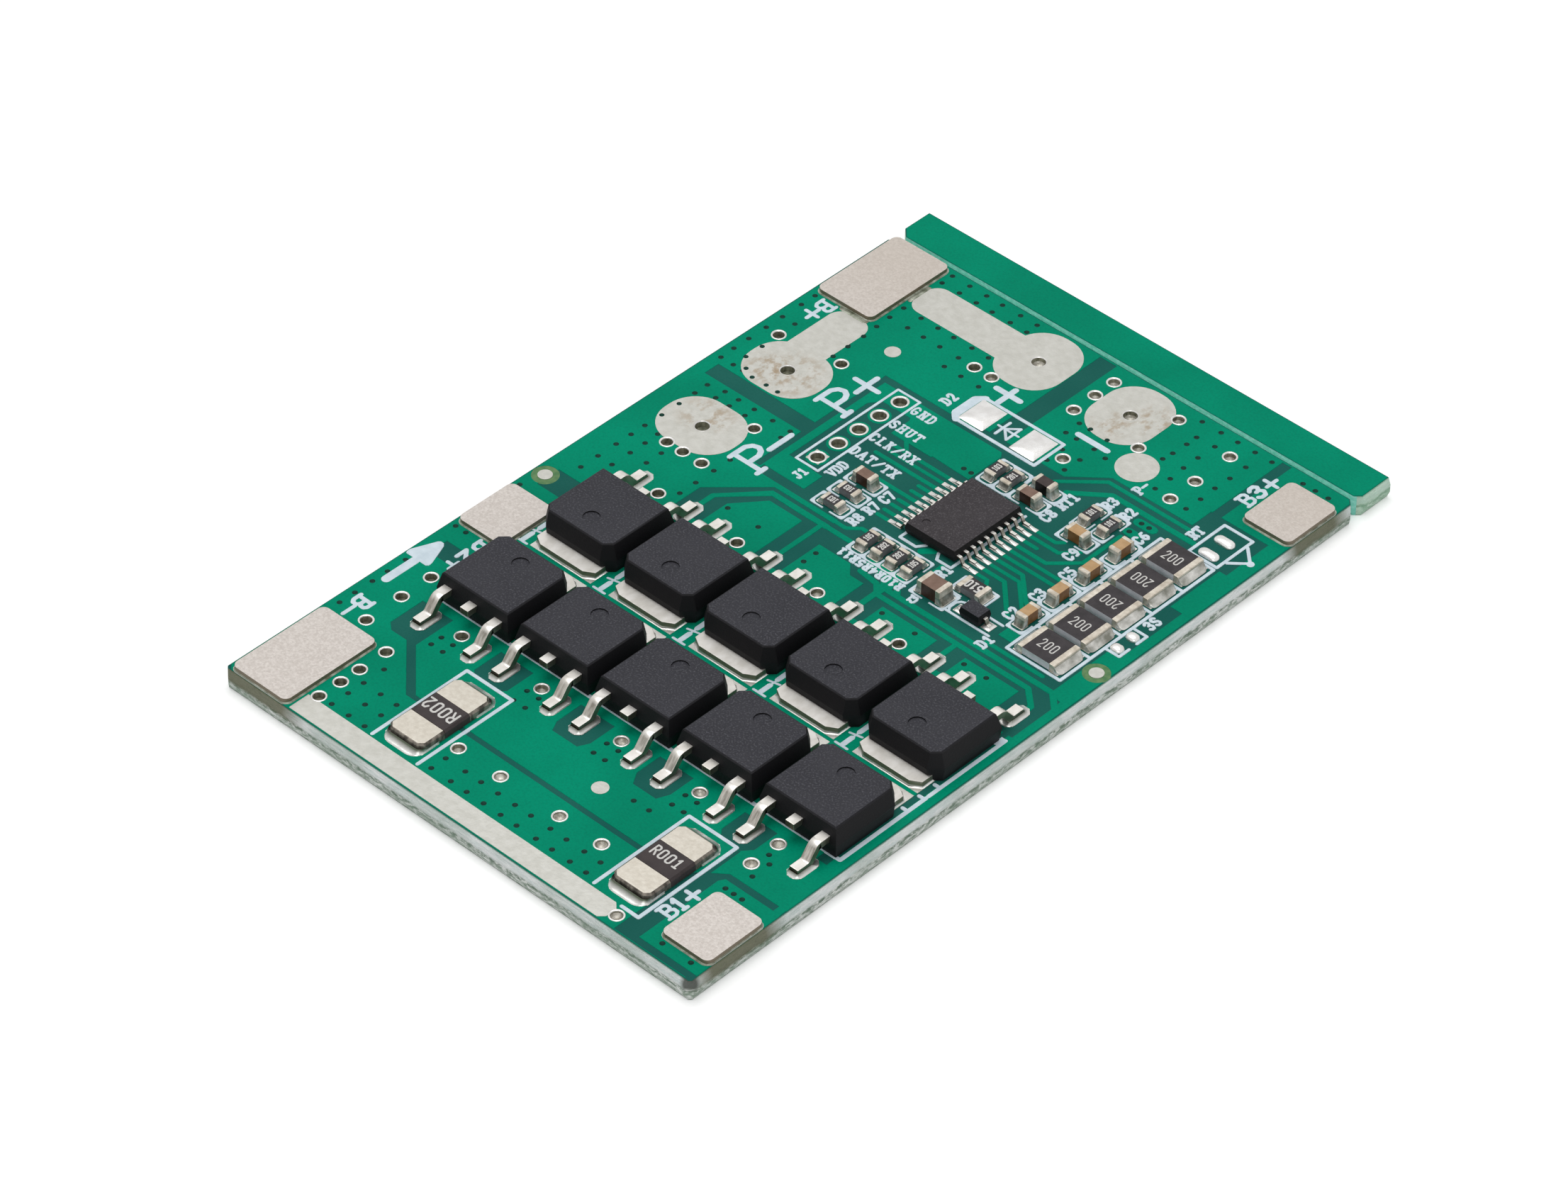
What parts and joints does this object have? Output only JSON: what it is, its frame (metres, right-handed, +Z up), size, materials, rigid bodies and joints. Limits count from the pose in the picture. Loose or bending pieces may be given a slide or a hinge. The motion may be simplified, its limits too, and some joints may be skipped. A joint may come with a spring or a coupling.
{
  "type": "battery management board",
  "caption": "Bare battery protection circuit board with power transistors, nickel cell tabs, shunts, balance resistors, a controller and a break-off rail.",
  "frame": {"origin": "middle of the board's underside, rail included", "axes": "+X along the short side, +Y along the long side towards the scored rail, +Z up out of the component side"},
  "size_m": [0.0414, 0.066, 0.0039],
  "materials": {
    "board": "gloss solder mask on glass epoxy",
    "tinned_copper": "tinned, satin",
    "solder": "bright solder",
    "nickel": "matt rolled nickel",
    "moulding": "black moulding compound",
    "tinned_leads": "tinned copper",
    "shunt_metal": "satin",
    "shunt_coating": "dark coating",
    "resistor_ceramic": "dark glaze over white ceramic",
    "chip_terminals": "tinned",
    "thermistor_ceramic": "satin",
    "tan_ceramic": "satin",
    "brown_ceramic": "satin"
  },
  "bodies": {
    "root": {"circuit_board": "board", "bare_lands": "tinned_copper", "soldered_lands": "tinned_copper", "solder_beads": "solder", "negative_battery_tab": "nickel", "positive_battery_tab": "nickel", "first_cell_tab": "nickel", "second_cell_tab": "nickel", "third_cell_tab": "nickel", "transistor_body_1": "moulding", "transistor_leads_1": "tinned_leads", "transistor_body_2": "moulding", "transistor_leads_2": "tinned_leads", "transistor_body_3": "moulding", "transistor_leads_3": "tinned_leads", "transistor_body_4": "moulding", "transistor_leads_4": "tinned_leads", "transistor_body_5": "moulding", "transistor_leads_5": "tinned_leads", "transistor_body_6": "moulding", "transistor_leads_6": "tinned_leads", "transistor_body_7": "moulding", "transistor_leads_7": "tinned_leads", "transistor_body_8": "moulding", "transistor_leads_8": "tinned_leads", "transistor_body_9": "moulding", "transistor_leads_9": "tinned_leads", "transistor_body_10": "moulding", "transistor_leads_10": "tinned_leads", "shunt_band_1": "shunt_coating", "shunt_terminals_1": "shunt_metal", "shunt_band_2": "shunt_coating", "shunt_terminals_2": "shunt_metal", "balance_resistor_1": "resistor_ceramic", "balance_terminals_1": "chip_terminals", "balance_resistor_2": "resistor_ceramic", "balance_terminals_2": "chip_terminals", "balance_resistor_3": "resistor_ceramic", "balance_terminals_3": "chip_terminals", "balance_resistor_4": "resistor_ceramic", "balance_terminals_4": "chip_terminals", "balance_resistor_5": "resistor_ceramic", "balance_terminals_5": "chip_terminals", "controller_body": "moulding", "controller_leads": "tinned_leads", "diode_body": "moulding", "diode_leads": "tinned_leads", "small_resistor_bodies": "resistor_ceramic", "small_resistor_terminals": "chip_terminals", "middle_resistor_bodies": "resistor_ceramic", "middle_resistor_terminals": "chip_terminals", "thermistor_bodies": "thermistor_ceramic", "thermistor_terminals": "chip_terminals", "tan_capacitor_bodies": "tan_ceramic", "tan_capacitor_terminals": "chip_terminals", "brown_capacitor_bodies": "brown_ceramic", "brown_capacitor_terminals": "chip_terminals", "middle_capacitor_bodies": "tan_ceramic", "middle_capacitor_terminals": "chip_terminals"}
  },
  "joints": []
}
